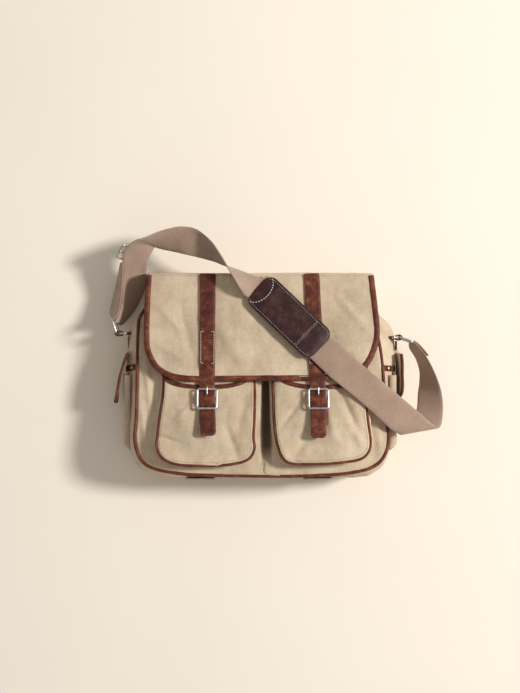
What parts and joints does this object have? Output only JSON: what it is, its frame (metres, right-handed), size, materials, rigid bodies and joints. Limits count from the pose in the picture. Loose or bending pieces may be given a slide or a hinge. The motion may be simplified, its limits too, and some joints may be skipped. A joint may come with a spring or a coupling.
{
  "type": "messenger bag",
  "caption": "Canvas messenger bag with a leather-bound flap, buckled flap straps, front and side pockets, and a webbing shoulder strap with a leather pad, lying on its back.",
  "frame": {"origin": "middle of the back panel's outer face, on the surface the bag lies on", "axes": "+Z out of the bag's front, +Y towards the bag's top edge, +X towards its right side seen from the front"},
  "size_m": [0.4983, 0.3819, 0.1214],
  "materials": {
    "canvas": "washed cotton canvas, khaki",
    "leather": "waxed reddish brown leather, worn at the edges",
    "pad_leather": "dark burgundy pebbled leather",
    "webbing": "ribbed cotton webbing, taupe",
    "nickel": "polished nickel plate"
  },
  "bodies": {
    "root": {"back_panel": "canvas", "back_piping": "leather", "base_patch_left": "leather", "base_patch_right": "leather", "front_panel": "canvas", "front_piping": "leather", "gusset": "canvas", "pocket_panel_left": "canvas", "pocket_panel_right": "canvas", "pocket_piping_left": "leather", "pocket_piping_right": "leather", "pocket_wall_left": "canvas", "pocket_wall_right": "canvas", "ring_tab_left": "leather", "ring_tab_right": "leather", "side_band_left": "leather", "side_band_right": "leather", "side_pocket_left": "canvas", "side_pocket_right": "canvas", "side_snap_left": "nickel", "side_snap_right": "nickel", "snap_socket_left": "nickel", "snap_socket_right": "nickel", "tab_rivet_left": "nickel", "tab_rivet_right": "nickel", "top_bridge": "canvas", "webbing_left": "webbing", "webbing_right": "webbing"},
    "flap": {"flap_binding": "leather", "flap_front": "canvas", "flap_top": "canvas", "flap_strap_left": "leather", "flap_strap_right": "leather", "buckle_frame_left": "nickel", "buckle_frame_right": "nickel", "buckle_bar_left": "nickel", "buckle_bar_right": "nickel", "buckle_tab_left": "leather", "buckle_tab_right": "leather", "snap_stud_left": "nickel", "snap_stud_right": "nickel"},
    "prong_left": {"buckle_prong_left": "nickel"},
    "prong_right": {"buckle_prong_right": "nickel"},
    "shoulder_strap": {"webbing_middle": "webbing"},
    "shoulder_pad": {"shoulder_pad_base": "pad_leather", "shoulder_pad_top": "pad_leather"},
    "slider": {"slider_frame": "nickel", "slider_bar": "nickel"},
    "pocket_flap_left": {"pocket_flap_left": "canvas", "pocket_flap_binding_left": "leather"},
    "side_flap_left": {"side_flap_left": "canvas", "side_flap_binding_left": "leather"},
    "ring_left": {"ring_left": "nickel"},
    "pocket_flap_right": {"pocket_flap_right": "canvas", "pocket_flap_binding_right": "leather"},
    "side_flap_right": {"side_flap_right": "canvas", "side_flap_binding_right": "leather"},
    "ring_right": {"ring_right": "nickel"}
  },
  "joints": [
    {"name": "flap_hinge", "type": "hinge", "parent": "root", "child": "flap", "pos_m": [0, 0.152, 0.038], "axis": [-1, 0, 0], "range_deg": [0, 120]},
    {"name": "strap_swing", "type": "hinge", "parent": "root", "child": "shoulder_strap", "pos_m": [0, 0.152, 0.038], "axis": [-1, 0, 0], "range_deg": [0, 120], "deforming": ["webbing_left", "webbing_right"]},
    {"name": "pocket_flap_left_hinge", "type": "hinge", "parent": "root", "child": "pocket_flap_left", "pos_m": [-0.0775, 0.04, 0.0768], "axis": [-1, 0, 0], "range_deg": [0, 90]},
    {"name": "pocket_flap_right_hinge", "type": "hinge", "parent": "root", "child": "pocket_flap_right", "pos_m": [0.089, 0.04, 0.0768], "axis": [-1, 0, 0], "range_deg": [0, 90]},
    {"name": "side_flap_left_hinge", "type": "hinge", "parent": "root", "child": "side_flap_left", "pos_m": [-0.1965, 0.034, 0.041], "axis": [0, 0, -1], "range_deg": [-3, 110]},
    {"name": "side_flap_right_hinge", "type": "hinge", "parent": "root", "child": "side_flap_right", "pos_m": [0.204, 0.032, 0.041], "axis": [0, 0, 1], "range_deg": [-1, 100]},
    {"name": "prong_left_pivot", "type": "hinge", "parent": "flap", "child": "prong_left", "pos_m": [-0.0763, -0.033, 0.11037], "axis": [1, 0, 0], "range_deg": [0, 12]},
    {"name": "prong_right_pivot", "type": "hinge", "parent": "flap", "child": "prong_right", "pos_m": [0.0842, -0.033, 0.11037], "axis": [1, 0, 0], "range_deg": [0, 12]},
    {"name": "ring_left_pivot", "type": "hinge", "parent": "root", "child": "ring_left", "pos_m": [-0.2106, 0.0615, 0.044], "axis": [0, 0, 1], "range_deg": [-12, 12]},
    {"name": "ring_right_pivot", "type": "hinge", "parent": "root", "child": "ring_right", "pos_m": [0.2065, 0.0553, 0.044], "axis": [0, 0, 1], "range_deg": [-12, 12]},
    {"name": "slider_slide", "type": "slide", "parent": "root", "child": "slider", "axis": [0.477, 0.8789, 0], "range_m": [-0.01, 0.01]},
    {"name": "pad_slide", "type": "slide", "parent": "shoulder_strap", "child": "shoulder_pad", "axis": [0.7118, -0.6861, 0.1505], "range_m": [-0.02, 0.02]}
  ],
  "couplings": [
    {"joint": "strap_swing", "follows": "flap_hinge", "ratio": 1},
    {"joint": "pocket_flap_left_hinge", "follows": "flap_hinge", "ratio": 0.75},
    {"joint": "pocket_flap_right_hinge", "follows": "flap_hinge", "ratio": 0.75}
  ]
}
